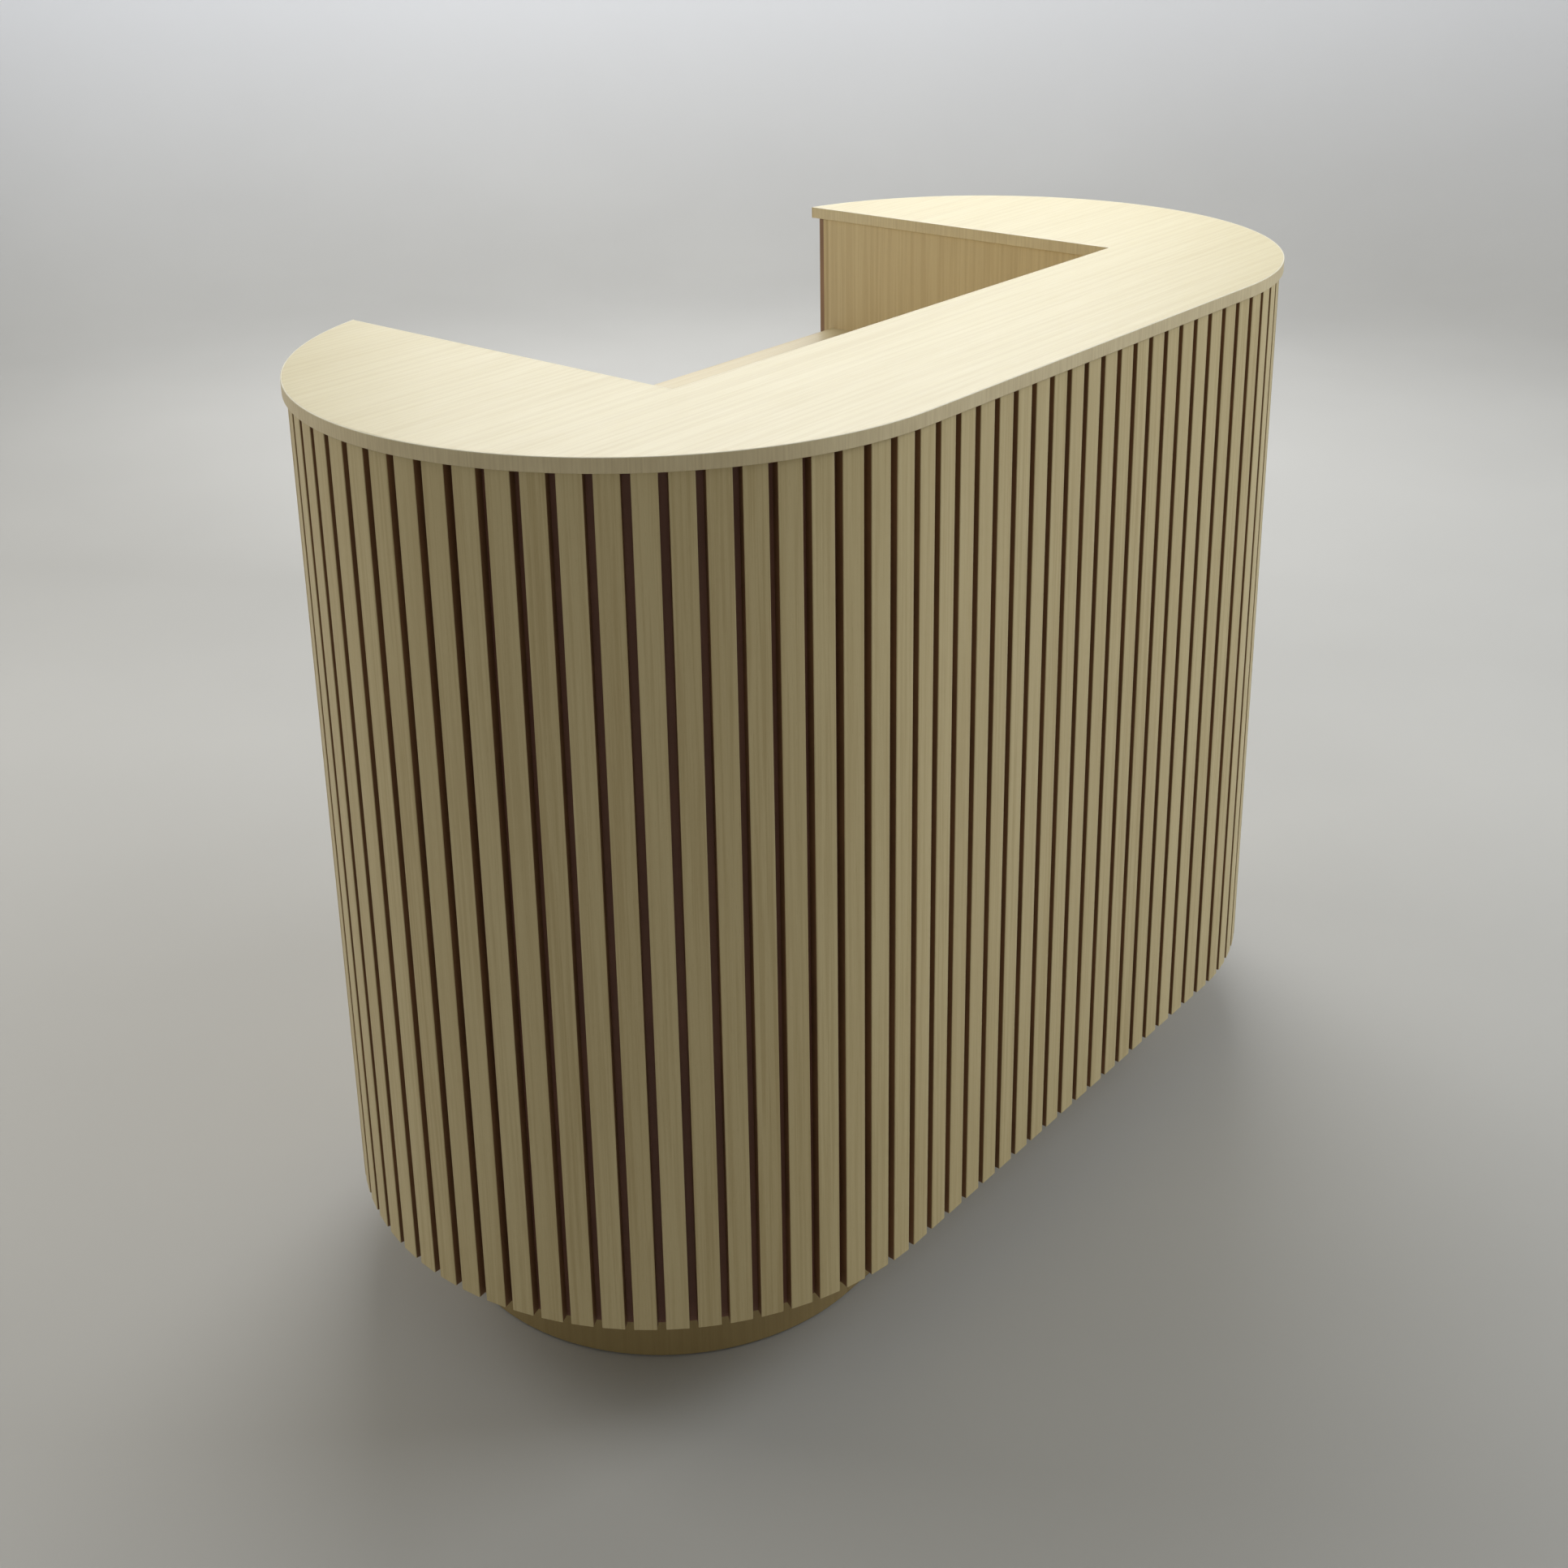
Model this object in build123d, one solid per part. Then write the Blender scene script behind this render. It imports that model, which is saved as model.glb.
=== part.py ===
from build123d import *
import math
import os

# Checkout counter with a slatted front and round ends.
# Millimetres, +Z up. Customers stand at -Y and staff at +Y.
#
# In plan the counter is a stadium: a straight front and two round ends, with a
# rectangular well cut in from the staff side. Plan coordinates have y = 0 on the
# line through the centres of the two round ends. write() moves every piece so
# that the origin is the middle of the whole footprint, on the floor.

# Slats: 1 in wide with 3/8 in gaps
slat_width = 25.4
slat_gap = 9.525
slat_depth = 12.0
slat_chamfer = 0.8

# Plan of the slatted face
face_radius = 381.0
straight_run = 670.0
well_width = 868.0
ledge_depth = 246.0

# Heights
counter_height = 1118.0
skirt_clearance = 128.0
worktop_drop = 179.0

# Boards
board_thickness = 16.0
backing_thickness = 9.0
drawer_board = 12.0
drawer_bottom_board = 6.0
edge_band = 1.5
top_overhang = 5.0
well_lip = 4.0
worktop_overhang = 3.0
bay_back_y = 337.0

# Plinth and levelling feet
plinth_recess = 103.0
kick_thickness = 12.0
kick_floor_gap = 2.0
foot_places = [(470, 130), (160, 200)]
foot_block = 60.0
foot_block_height = 30.0
foot_pad_radius = 22.0
foot_pad_height = 9.0
foot_pad_rim = 3.0
foot_neck_radius = 11.0
foot_stem_radius = 5.0
foot_stem_top_gap = 2.0
foot_bore_clearance = 0.1
foot_nut_across_corners = 19.6
foot_nut_height = 6.0

# Frame inside the closed front and wings
mid_rib_height = 600.0
front_stud_places = [-300.0, 0.0, 300.0]
wing_stud_angles = [30.0, 65.0, 100.0, 135.0]
wing_stud_depth = 40.0
wing_stud_clearance = 1.0

# Drawers, in the bay at -X
reveal = 3.0
upper_front_height = 150.0
upper_box_height = 88.0
box_lift = 12.0
deep_box_drop = 46.0
upper_pull_height = 62.0
deep_pull_drop = 90.0
drawer_depth = 420.0
slide_space = 13.0
slide_length = 400.0
slide_height = 45.0
slide_lift = 8.0
slide_setback = 16.0
slide_sheet = 1.5
slide_cavity_depth = 9.5
runner_height = 34.0
runner_reach = 3.0
pull_length = 160.0
pull_radius = 5.0
pull_reach = 28.0
pull_post_radius = 4.0
pull_post_spacing = 128.0

# Cam lock on the upper drawer
lock_drop = 28.0
lock_radius = 9.5
lock_flange_radius = 12.0
lock_flange = 2.5
lock_length = 28.0
plug_radius = 6.0
plug_clearance = 0.1
plug_stand_out = 0.4
key_slot = (1.4, 8.0, 4.0)
cam_thickness = 2.0
cam_width = 12.0
cam_reach = 20.0
cam_heel = 8.0
cam_gap = 2.5
lock_rail_height = 20.0
lock_rail_gap = 1.5

# Shelf in the open bay at +X
shelf_height = 520.0
shelf_side_gap = 1.0
shelf_setback = 12.0
pin_radius = 2.5
pin_depth = 9.0
pin_stand_out = 9.0
pin_spacing = 32.0
pin_rows = 9
pin_inset = 40.0

# Cable grommets
grommet_place = (220.0, -75.0)
grommet_hole_radius = 30.0
grommet_sleeve_radius = 29.8
grommet_bore_radius = 27.0
grommet_flange_radius = 34.0
grommet_flange = 2.0
grommet_ledge_radius = 24.0
cap_seat_depth = 5.0
cap_thickness = 4.0
cap_clearance = 0.4
cap_lift = 0.3
cap_notch_width = 20.0
cap_notch_depth = 16.0

# Cleats under the worktop, and their screws
cleat_width = 20.0
cleat_height = 30.0
side_cleat_screws = [-60.0, 80.0, 220.0]
front_cleat_screws = [110.0, 330.0]
cleat_end_gap = 30.0
screw_radius = 2.0
screw_head_radius = 4.0
screw_head_height = 2.5
screw_length = 30.0
pull_screw_length = 40.0
screw_clearance = 0.1

# Worked out from the sizes above
half_run = straight_run / 2
slat_pitch = slat_width + slat_gap
backing_radius = face_radius - slat_depth
frame_radius = backing_radius - backing_thickness
top_radius = face_radius + top_overhang
plinth_radius = face_radius - plinth_recess
well_x = well_width / 2
wing_x = well_x + board_thickness
lip_x = well_x - well_lip
well_front_y = -face_radius + ledge_depth
cavity_y = well_front_y - board_thickness
lip_y = well_front_y + well_lip
top_underside = counter_height - board_thickness
deck_top = skirt_clearance + board_thickness
worktop_top = counter_height - worktop_drop
worktop_underside = worktop_top - board_thickness
partition_x = board_thickness / 2
top_tip_y = math.sqrt(top_radius ** 2 - (lip_x - half_run) ** 2)
plan_shift = (top_radius - top_tip_y) / 2
far = 2 * face_radius + straight_run

front_back_y = bay_back_y - board_thickness
drawer_back_y = front_back_y - drawer_depth
drawer_x = (-well_x + slide_space, -partition_x - slide_space)
drawer_middle_x = sum(drawer_x) / 2
front_x = (-well_x + reveal, -partition_x - reveal)
lock_z = worktop_underside - reveal - lock_drop
lock_back_y = front_back_y - lock_length
cam_front_y = lock_back_y - cam_gap
shelf_bottom = shelf_height + pin_radius


def board(x, y, z):
    """A box between a low and a high value along each axis."""
    middle = Pos(sum(x) / 2, sum(y) / 2, sum(z) / 2)
    return middle * Box(x[1] - x[0], y[1] - y[0], z[1] - z[0])


def rectangle(x, y):
    return Pos(sum(x) / 2, sum(y) / 2) * Rectangle(x[1] - x[0], y[1] - y[0])


def stadium(radius):
    return SlotCenterToCenter(straight_run, 2 * radius)


def plate(outline, z):
    return Pos(0, 0, z[0]) * extrude(outline, amount=z[1] - z[0])


def rod(radius, start, end):
    """A round bar from one point to another."""
    along = Vector(*end) - Vector(*start)
    base = Plane(origin=start, z_dir=along)
    return base * Cylinder(radius, along.length, align=(Align.CENTER, Align.CENTER, Align.MIN))


def screw(head, direction, length=screw_length, radius_gap=0.0):
    """A pan-head screw: the head stands outside and the shank runs along direction."""
    point = Vector(*head)
    along = Vector(*direction)
    shank = rod(screw_radius + radius_gap, point, point + along * length)
    cap = rod(screw_head_radius + radius_gap, point - along * screw_head_height, point)
    return shank + cap


def cut(solid, tools):
    for tool in tools:
        solid = solid - tool
    return solid


# ---- Top ---------------------------------------------------------------

def well_cut(x_half, front_y):
    """The rectangle that opens the stadium towards the staff side."""
    return rectangle((-x_half, x_half), (front_y, far))


def counter_top():
    core = stadium(top_radius - edge_band) - well_cut(lip_x + edge_band, lip_y - edge_band)
    return [plate(core, (top_underside, counter_height))]


def top_outer_band():
    ring = stadium(top_radius) - stadium(top_radius - edge_band)
    return [plate(ring - well_cut(lip_x, 0), (top_underside, counter_height))]


def top_inner_band():
    strip = well_cut(lip_x + edge_band, lip_y - edge_band) - well_cut(lip_x, lip_y)
    strip = strip & stadium(top_radius - edge_band)
    return [plate(strip, (top_underside, counter_height))]


# ---- Slatted skin ------------------------------------------------------

def slat_place(run):
    """Where a slat stands, from its distance along the face from the front's middle."""
    past_straight = abs(run) - half_run
    if past_straight <= 0:
        return Pos(run, -backing_radius, 0)
    side = math.copysign(1, run)
    turn = side * math.degrees(past_straight / face_radius)
    return Pos(side * half_run, 0, 0) * Rot(0, 0, turn) * Pos(0, -backing_radius, 0)


def slat_section():
    half = slat_width / 2
    shoulder = slat_depth - slat_chamfer
    corners = [(-half, 0), (half, 0), (half, -shoulder), (half - slat_chamfer, -slat_depth),
               (slat_chamfer - half, -slat_depth), (-half, -shoulder)]
    return make_face(Polyline(*corners, close=True))


def slat_runs():
    """Slats are evenly spaced about the middle, as far as they fit before the well."""
    tip_turn = math.pi - math.asin((well_x - half_run) / face_radius)
    half_face = half_run + face_radius * tip_turn
    per_side = int((half_face + slat_gap / 2) / slat_pitch)
    return [(number + 0.5) * slat_pitch for number in range(-per_side, per_side)]


def slats(wanted):
    section = slat_section()
    z = (skirt_clearance, top_underside)
    return [slat_place(run) * plate(section, z) for run in slat_runs() if wanted(run)]


def backing(side):
    """side is -1 for the left end, 0 for the straight front and 1 for the right end."""
    ring = stadium(backing_radius) - stadium(frame_radius)
    if side == 0:
        piece = ring & rectangle((-half_run, half_run), (-far, 0))
    else:
        ends = sorted((side * half_run, side * far))
        piece = (ring & rectangle(ends, (-far, far))) - well_cut(well_x, 0)
    return [plate(piece, (skirt_clearance, top_underside))]


# ---- Carcass -----------------------------------------------------------

def grommet_hole(z):
    x, y = grommet_place
    return rod(grommet_hole_radius, (x, y, z[0]), (x, y, z[1]))


def base_deck():
    z = (skirt_clearance, deck_top)
    outline = stadium(frame_radius) - well_cut(well_x, bay_back_y)
    return [plate(outline, z) - grommet_hole(z)]


def cleat_screw_heads():
    """Head centres and directions of the screws that hold the worktop cleats."""
    z = worktop_underside - cleat_height / 2
    heads = []
    for side in (-1, 1):
        for y in side_cleat_screws:
            heads.append(((side * (well_x - cleat_width), y, z), (side, 0, 0)))
        for x in front_cleat_screws:
            heads.append(((side * x, well_front_y + cleat_width, z), (0, -1, 0)))
    return heads


def cleat_screws():
    return [screw(head, direction) for head, direction in cleat_screw_heads()]


def screw_holes():
    return [screw(head, direction, radius_gap=screw_clearance)
            for head, direction in cleat_screw_heads()]


def pin_hole_rows(face_x, into):
    """Two rows of shelf-pin holes in one board's face, drilled towards into."""
    holes = []
    for y in (well_front_y + pin_inset, bay_back_y - shelf_setback - pin_inset):
        for row in range(pin_rows):
            z = shelf_height + (row - pin_rows // 2) * pin_spacing
            start = (face_x, y, z)
            holes.append(rod(pin_radius, start, (face_x + into * pin_depth, y, z)))
    return holes


def wing_panel(side):
    outline = rectangle(sorted((side * well_x, side * wing_x)), (cavity_y, far)) & stadium(frame_radius)
    panel = cut(plate(outline, (deck_top, top_underside)), screw_holes())
    if side > 0:
        panel = cut(panel, pin_hole_rows(well_x, 1))
    return [panel]


def inner_front_panel():
    panel = board((-well_x, well_x), (cavity_y, well_front_y), (deck_top, top_underside))
    return [cut(panel, screw_holes())]


def centre_partition():
    z = (deck_top, worktop_underside)
    partition = board((-partition_x, partition_x), (well_front_y, bay_back_y), z)
    return [cut(partition, pin_hole_rows(partition_x, -1))]


def front_rib_outline():
    region = rectangle((-wing_x, wing_x), (-far, cavity_y))
    return region & stadium(frame_radius)


def wing_rib_outline(side):
    region = rectangle(sorted((side * wing_x, side * far)), (-far, far))
    return region & stadium(frame_radius)


def ribs(outline):
    """One rib half way up and one under the top."""
    levels = (mid_rib_height, top_underside - board_thickness)
    return [plate(outline, (z, z + board_thickness)) for z in levels]


def stud_levels():
    upper_start = mid_rib_height + board_thickness
    return [(deck_top, mid_rib_height), (upper_start, top_underside - board_thickness)]


def front_studs():
    half = board_thickness / 2
    y = (-frame_radius, cavity_y)
    return [board((x - half, x + half), y, z) for x in front_stud_places for z in stud_levels()]


def wing_studs(side):
    half = board_thickness / 2
    outer_y = -frame_radius + wing_stud_clearance
    studs = []
    for angle in wing_stud_angles:
        place = Pos(side * half_run, 0, 0) * Rot(0, 0, side * angle)
        for z in stud_levels():
            studs.append(place * board((-half, half), (outer_y, outer_y + wing_stud_depth), z))
    return studs


# ---- Plinth ------------------------------------------------------------

def kick(x, y):
    """The piece of the plinth ring inside a rectangle."""
    ring = stadium(plinth_radius) - stadium(plinth_radius - kick_thickness)
    return [plate(ring & rectangle(x, y), (kick_floor_gap, skirt_clearance))]


def foot_centres():
    return [(sx * x, sy * y) for x, y in foot_places for sx in (-1, 1) for sy in (-1, 1)]


def foot_blocks():
    half = foot_block / 2
    z = (skirt_clearance - foot_block_height, skirt_clearance)
    blocks = []
    for x, y in foot_centres():
        block = board((x - half, x + half), (y - half, y + half), z)
        bore = rod(foot_stem_radius + foot_bore_clearance, (x, y, z[0]), (x, y, z[1]))
        blocks.append(block - bore)
    return blocks


def foot_pads():
    """Round pads with a sloping shoulder up to the stem."""
    outline = make_face(Polyline((0, 0), (foot_pad_radius, 0), (foot_pad_radius, foot_pad_rim),
                                 (foot_neck_radius, foot_pad_height),
                                 (0, foot_pad_height), close=True))
    pad = revolve(Plane.XZ * outline, Axis.Z)
    return [Pos(x, y, 0) * pad for x, y in foot_centres()]


def foot_stems():
    top = skirt_clearance - foot_stem_top_gap
    return [rod(foot_stem_radius, (x, y, foot_pad_height), (x, y, top)) for x, y in foot_centres()]


def foot_nuts():
    """Jam nuts, locked against the underside of each block."""
    top = skirt_clearance - foot_block_height
    low = top - foot_nut_height
    hexagon = RegularPolygon(foot_nut_across_corners / 2, 6) - Circle(foot_stem_radius)
    return [Pos(x, y, 0) * plate(hexagon, (low, top)) for x, y in foot_centres()]


# ---- Worktop in the well -----------------------------------------------

def worktop():
    back = bay_back_y + worktop_overhang - edge_band
    z = (worktop_underside, worktop_top)
    return [board((-well_x, well_x), (well_front_y, back), z) - grommet_hole(z)]


def worktop_band():
    back = bay_back_y + worktop_overhang
    return [board((-well_x, well_x), (back - edge_band, back), (worktop_underside, worktop_top))]


def worktop_cleats():
    z = (worktop_underside - cleat_height, worktop_underside)
    inner_x = well_x - cleat_width
    side_y = (well_front_y, cam_front_y - cleat_end_gap)
    front_y = (well_front_y, well_front_y + cleat_width)
    pieces = []
    for side in (-1, 1):
        pieces.append(board(sorted((side * inner_x, side * well_x)), side_y, z))
        pieces.append(board(sorted((side * partition_x, side * inner_x)), front_y, z))
    return [cut(piece, screw_holes()) for piece in pieces]


def grommet(top_z, bottom_z, seat):
    """A flanged sleeve through a board; seat leaves a ledge for a cap."""
    x, y = grommet_place
    flange = rod(grommet_flange_radius, (x, y, top_z), (x, y, top_z + grommet_flange))
    sleeve = rod(grommet_sleeve_radius, (x, y, bottom_z), (x, y, top_z))
    body = flange + sleeve
    bore_low = top_z + grommet_flange - cap_seat_depth if seat else bottom_z
    bore = rod(grommet_bore_radius, (x, y, bore_low), (x, y, top_z + grommet_flange))
    if seat:
        bore = bore + rod(grommet_ledge_radius, (x, y, bottom_z), (x, y, bore_low))
    return [body - bore]


def grommet_cap():
    x, y = grommet_place
    low = worktop_top + grommet_flange - cap_seat_depth + cap_lift
    radius = grommet_bore_radius - cap_clearance
    disc = rod(radius, (x, y, low), (x, y, low + cap_thickness))
    half = cap_notch_width / 2
    notch = board((x - half, x + half), (y + radius - cap_notch_depth, y + 2 * radius),
                  (low, low + cap_thickness))
    return [disc - notch]


# ---- Shelf -------------------------------------------------------------

def adjustable_shelf():
    x = (partition_x + shelf_side_gap, well_x - shelf_side_gap)
    y = (well_front_y + shelf_side_gap, bay_back_y - shelf_setback)
    return [board(x, y, (shelf_bottom, shelf_bottom + board_thickness))]


def shelf_pins():
    pins = []
    for face_x, into in ((partition_x, -1), (well_x, 1)):
        for y in (well_front_y + pin_inset, bay_back_y - shelf_setback - pin_inset):
            start = (face_x + into * pin_depth, y, shelf_height)
            pins.append(rod(pin_radius, start, (face_x - into * pin_stand_out, y, shelf_height)))
    return pins


# ---- Drawers -----------------------------------------------------------

def drawer_sizes():
    """Front and box heights of each drawer, and the height of its slides and pull."""
    top = worktop_underside - reveal
    upper_low = top - upper_front_height
    lower_low = deck_top + reveal
    share = (upper_low - lower_low - 2 * reveal) / 2
    upper_box_low = upper_low + box_lift
    sizes = {"upper": {"front": (upper_low, top),
                       "box": (upper_box_low, upper_box_low + upper_box_height),
                       "pull": upper_low + upper_pull_height}}
    for name, low in (("middle", lower_low + share + reveal), ("lower", lower_low)):
        sizes[name] = {"front": (low, low + share),
                       "box": (low + box_lift, low + share - deep_box_drop),
                       "pull": low + share - deep_pull_drop}
    return sizes


def slide_z(box):
    """The middle height of the slides, low on the sides of a drawer's box."""
    return box[0] + slide_height / 2 + slide_lift


def pull_screw_heads(pull):
    y = front_back_y - drawer_board
    half = pull_post_spacing / 2
    return [((drawer_middle_x + offset, y, pull), (0, 1, 0)) for offset in (-half, half)]


def pull_screws(pull):
    return [screw(head, direction, pull_screw_length) for head, direction in pull_screw_heads(pull)]


def pull_screw_holes(pull):
    return [screw(head, direction, pull_screw_length, screw_clearance)
            for head, direction in pull_screw_heads(pull)]


def drawer_box(box, pull):
    """Two sides, a front and a back between them, and a thin bottom."""
    low, high = box
    inner_x = (drawer_x[0] + drawer_board, drawer_x[1] - drawer_board)
    y = (drawer_back_y, front_back_y)
    inner_y = (y[0] + drawer_board, y[1] - drawer_board)
    bottom_z = (low + drawer_bottom_board, low + 2 * drawer_bottom_board)
    sub_front = board(inner_x, (inner_y[1], y[1]), box)
    return [
        board((drawer_x[0], inner_x[0]), y, box),
        board((inner_x[1], drawer_x[1]), y, box),
        board(inner_x, (y[0], inner_y[0]), box),
        cut(sub_front, pull_screw_holes(pull)),
        board(inner_x, inner_y, bottom_z),
    ]


def drawer_front(front, pull, has_lock):
    panel = board(front_x, (front_back_y, bay_back_y), front)
    panel = cut(panel, pull_screw_holes(pull))
    if has_lock:
        radius = lock_radius + plug_clearance
        ends = [(drawer_middle_x, y, lock_z) for y in (front_back_y, bay_back_y)]
        panel = panel - rod(radius, *ends)
    return [panel]


def drawer_pull(pull):
    """A round bar on two posts."""
    bar_y = bay_back_y + pull_reach - pull_radius
    half = pull_length / 2
    ends = [(drawer_middle_x + offset, bar_y, pull) for offset in (-half, half)]
    bar = rod(pull_radius, *ends)
    pieces = [bar]
    for offset in (-pull_post_spacing / 2, pull_post_spacing / 2):
        x = drawer_middle_x + offset
        post = rod(pull_post_radius, (x, bay_back_y, pull), (x, bar_y, pull)) - bar
        pieces.append(cut(post, pull_screw_holes(pull)))
    return pieces


def channel(web_x, tip_x, height, z_middle):
    """A C-shaped steel strip along Y; its web is at web_x and its flanges reach tip_x."""
    inwards = math.copysign(slide_sheet, tip_x - web_x)
    y = (front_back_y - slide_setback - slide_length, front_back_y - slide_setback)
    half = height / 2
    outer = board(sorted((web_x, tip_x)), y, (z_middle - half, z_middle + half))
    hollow = board(sorted((web_x + inwards, tip_x + inwards)), y,
                   (z_middle - half + slide_sheet, z_middle + half - slide_sheet))
    return outer - hollow


def slide_channels():
    """The fixed channels, on the wing panel and on the partition."""
    pieces = []
    for size in drawer_sizes().values():
        z = slide_z(size["box"])
        for face_x, inwards in ((-well_x, 1), (-partition_x, -1)):
            tip = face_x + inwards * slide_cavity_depth
            pieces.append(channel(face_x, tip, slide_height, z))
    return pieces


def drawer_runners(box):
    """The moving channels, on the drawer's sides, inside the fixed ones."""
    z = slide_z(box)
    pieces = []
    for side_x, outwards in ((drawer_x[0], -1), (drawer_x[1], 1)):
        tip = side_x + outwards * (slide_space - runner_reach)
        pieces.append(channel(side_x, tip, runner_height, z))
    return pieces


# ---- Cam lock ----------------------------------------------------------

def lock_housing():
    x = drawer_middle_x
    face = bay_back_y + lock_flange
    barrel = rod(lock_radius, (x, lock_back_y, lock_z), (x, bay_back_y, lock_z))
    flange = rod(lock_flange_radius, (x, bay_back_y, lock_z), (x, face, lock_z))
    bore = rod(plug_radius + plug_clearance, (x, lock_back_y, lock_z), (x, face, lock_z))
    return [barrel + flange - bore]


def lock_plug():
    """The part that turns with the key."""
    x = drawer_middle_x
    face = bay_back_y + lock_flange + plug_stand_out
    plug = rod(plug_radius, (x, cam_front_y, lock_z), (x, face, lock_z))
    width, height, depth = key_slot
    slot = board((x - width / 2, x + width / 2), (face - depth, face),
                 (lock_z - height / 2, lock_z + height / 2))
    return [plug - slot]


def lock_cam():
    """The tongue; at rest it lies level, and a quarter turn lifts it behind the rail."""
    x = drawer_middle_x
    return [board((x - cam_reach, x + cam_heel), (cam_front_y - cam_thickness, cam_front_y),
                  (lock_z - cam_width / 2, lock_z + cam_width / 2))]


def lock_rail():
    y = cam_front_y + lock_rail_gap
    z = (worktop_underside - lock_rail_height, worktop_underside)
    return [board((-well_x, -partition_x), (y, y + board_thickness), z)]


# ---- Output ------------------------------------------------------------

def all_parts():
    parts = {
        "counter_top": counter_top(),
        "top_outer_band": top_outer_band(),
        "top_inner_band": top_inner_band(),
        "front_slats": slats(lambda run: abs(run) <= half_run),
        "left_end_slats": slats(lambda run: run < -half_run),
        "right_end_slats": slats(lambda run: run > half_run),
        "front_backing": backing(0),
        "left_end_backing": backing(-1),
        "right_end_backing": backing(1),
        "base_deck": base_deck(),
        "left_wing_panel": wing_panel(-1),
        "right_wing_panel": wing_panel(1),
        "inner_front_panel": inner_front_panel(),
        "centre_partition": centre_partition(),
        "front_ribs": ribs(front_rib_outline()),
        "left_wing_ribs": ribs(wing_rib_outline(-1)),
        "right_wing_ribs": ribs(wing_rib_outline(1)),
        "front_studs": front_studs(),
        "left_wing_studs": wing_studs(-1),
        "right_wing_studs": wing_studs(1),
        "front_kick": kick((-half_run, half_run), (-far, 0)),
        "rear_kick": kick((-half_run, half_run), (0, far)),
        "left_kick": kick((-far, -half_run), (-far, far)),
        "right_kick": kick((half_run, far), (-far, far)),
        "foot_blocks": foot_blocks(),
        "foot_pads": foot_pads(),
        "foot_stems": foot_stems(),
        "foot_nuts": foot_nuts(),
        "worktop": worktop(),
        "worktop_band": worktop_band(),
        "worktop_cleats": worktop_cleats(),
        "cleat_screws": cleat_screws(),
        "worktop_grommet": grommet(worktop_top, worktop_underside, True),
        "grommet_cap": grommet_cap(),
        "floor_grommet": grommet(deck_top, skirt_clearance, False),
        "adjustable_shelf": adjustable_shelf(),
        "shelf_pins": shelf_pins(),
        "slide_channels": slide_channels(),
        "lock_rail": lock_rail(),
        "lock_housing": lock_housing(),
        "lock_plug": lock_plug(),
        "lock_cam": lock_cam(),
    }
    for name, size in drawer_sizes().items():
        drawer = name + "_drawer_"
        parts[drawer + "box"] = drawer_box(size["box"], size["pull"])
        parts[drawer + "front"] = drawer_front(size["front"], size["pull"], name == "upper")
        parts[drawer + "pull"] = drawer_pull(size["pull"])
        parts[drawer + "pull_screws"] = pull_screws(size["pull"])
        parts[drawer + "runners"] = drawer_runners(size["box"])
    return parts


def write(node, pieces):
    solids = [Pos(0, plan_shift, 0) * solid for piece in pieces for solid in piece.solids()]
    shape = solids[0] if len(solids) == 1 else Compound(children=solids)
    export_step(shape, "parts/" + node + ".step")


os.makedirs("parts", exist_ok=True)
for node, pieces in all_parts().items():
    write(node, pieces)
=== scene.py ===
import math
import random

import bmesh
import bpy
from mathutils import Matrix, Vector


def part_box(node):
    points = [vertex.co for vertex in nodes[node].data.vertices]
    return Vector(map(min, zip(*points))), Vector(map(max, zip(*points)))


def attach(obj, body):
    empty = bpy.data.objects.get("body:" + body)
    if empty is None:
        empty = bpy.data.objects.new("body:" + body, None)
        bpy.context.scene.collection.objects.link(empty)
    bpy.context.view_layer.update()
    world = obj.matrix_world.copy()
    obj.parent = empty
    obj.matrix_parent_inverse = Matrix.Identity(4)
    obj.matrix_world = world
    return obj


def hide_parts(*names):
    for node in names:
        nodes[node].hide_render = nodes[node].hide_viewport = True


# Checkout counter: a slatted front with round ends, a U-shaped top and a well for the staff.
# Metres, +Z up. Customers stand at -Y and staff at +Y.

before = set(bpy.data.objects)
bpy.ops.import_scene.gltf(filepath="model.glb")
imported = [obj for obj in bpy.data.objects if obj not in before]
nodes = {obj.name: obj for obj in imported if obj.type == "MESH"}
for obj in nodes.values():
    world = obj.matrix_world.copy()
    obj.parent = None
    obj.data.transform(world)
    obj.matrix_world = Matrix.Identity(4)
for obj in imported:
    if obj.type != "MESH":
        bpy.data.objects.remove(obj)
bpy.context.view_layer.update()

# ---- Sizes, read from the frame or repeated from the CAD source ----------

slat_width = 0.0254
slat_gap = 0.009525
band_thickness = 0.0015

straight_low, straight_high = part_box("front_backing")
slats_low, slats_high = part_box("front_slats")
outer_low, outer_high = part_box("top_outer_band")
inner_low, inner_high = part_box("top_inner_band")

half_run = straight_high.x
centre_y = (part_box("front_kick")[0].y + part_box("rear_kick")[1].y) / 2
face_radius = centre_y - slats_low.y
backing_radius = centre_y - straight_low.y
slat_depth = face_radius - backing_radius
slat_pitch = slat_width + slat_gap
well_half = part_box("right_wing_panel")[0].x

top_radius = outer_high.x - half_run
top_low = outer_low.z
top_high = outer_high.z
lip_half = inner_high.x - band_thickness
lip_y = inner_low.y + band_thickness


# ---- Materials -----------------------------------------------------------

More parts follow.
